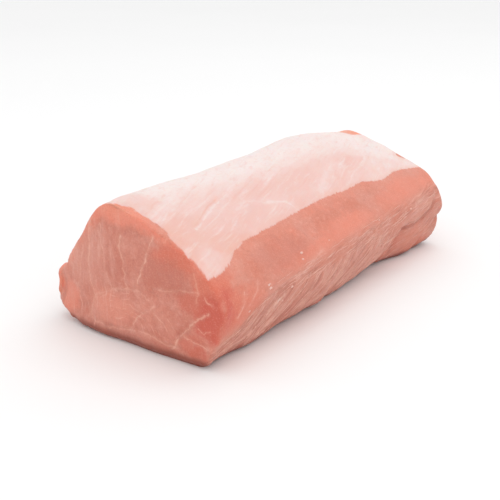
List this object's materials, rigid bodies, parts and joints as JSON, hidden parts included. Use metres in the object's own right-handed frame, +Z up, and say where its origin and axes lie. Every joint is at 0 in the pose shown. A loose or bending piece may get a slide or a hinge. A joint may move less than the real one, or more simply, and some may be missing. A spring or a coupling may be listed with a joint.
{
  "type": "raw pork loin",
  "caption": "Boneless raw pork loin joint lying flat: a long block of lean meat with a white fat cover on top and square-cut ends that show the muscles.",
  "frame": {"origin": "on the flat underside, below the centre of the bounding box", "axes": "+X along the loin, away from the cut face that shows the muscles; +Y across it, towards the thick rib side; +Z up"},
  "size_m": [0.2548, 0.125, 0.0804],
  "materials": {
    "raw_lean": "moist raw pork, soft satin sheen"
  },
  "bodies": {
    "root": {"loin": "raw_lean"}
  },
  "joints": []
}
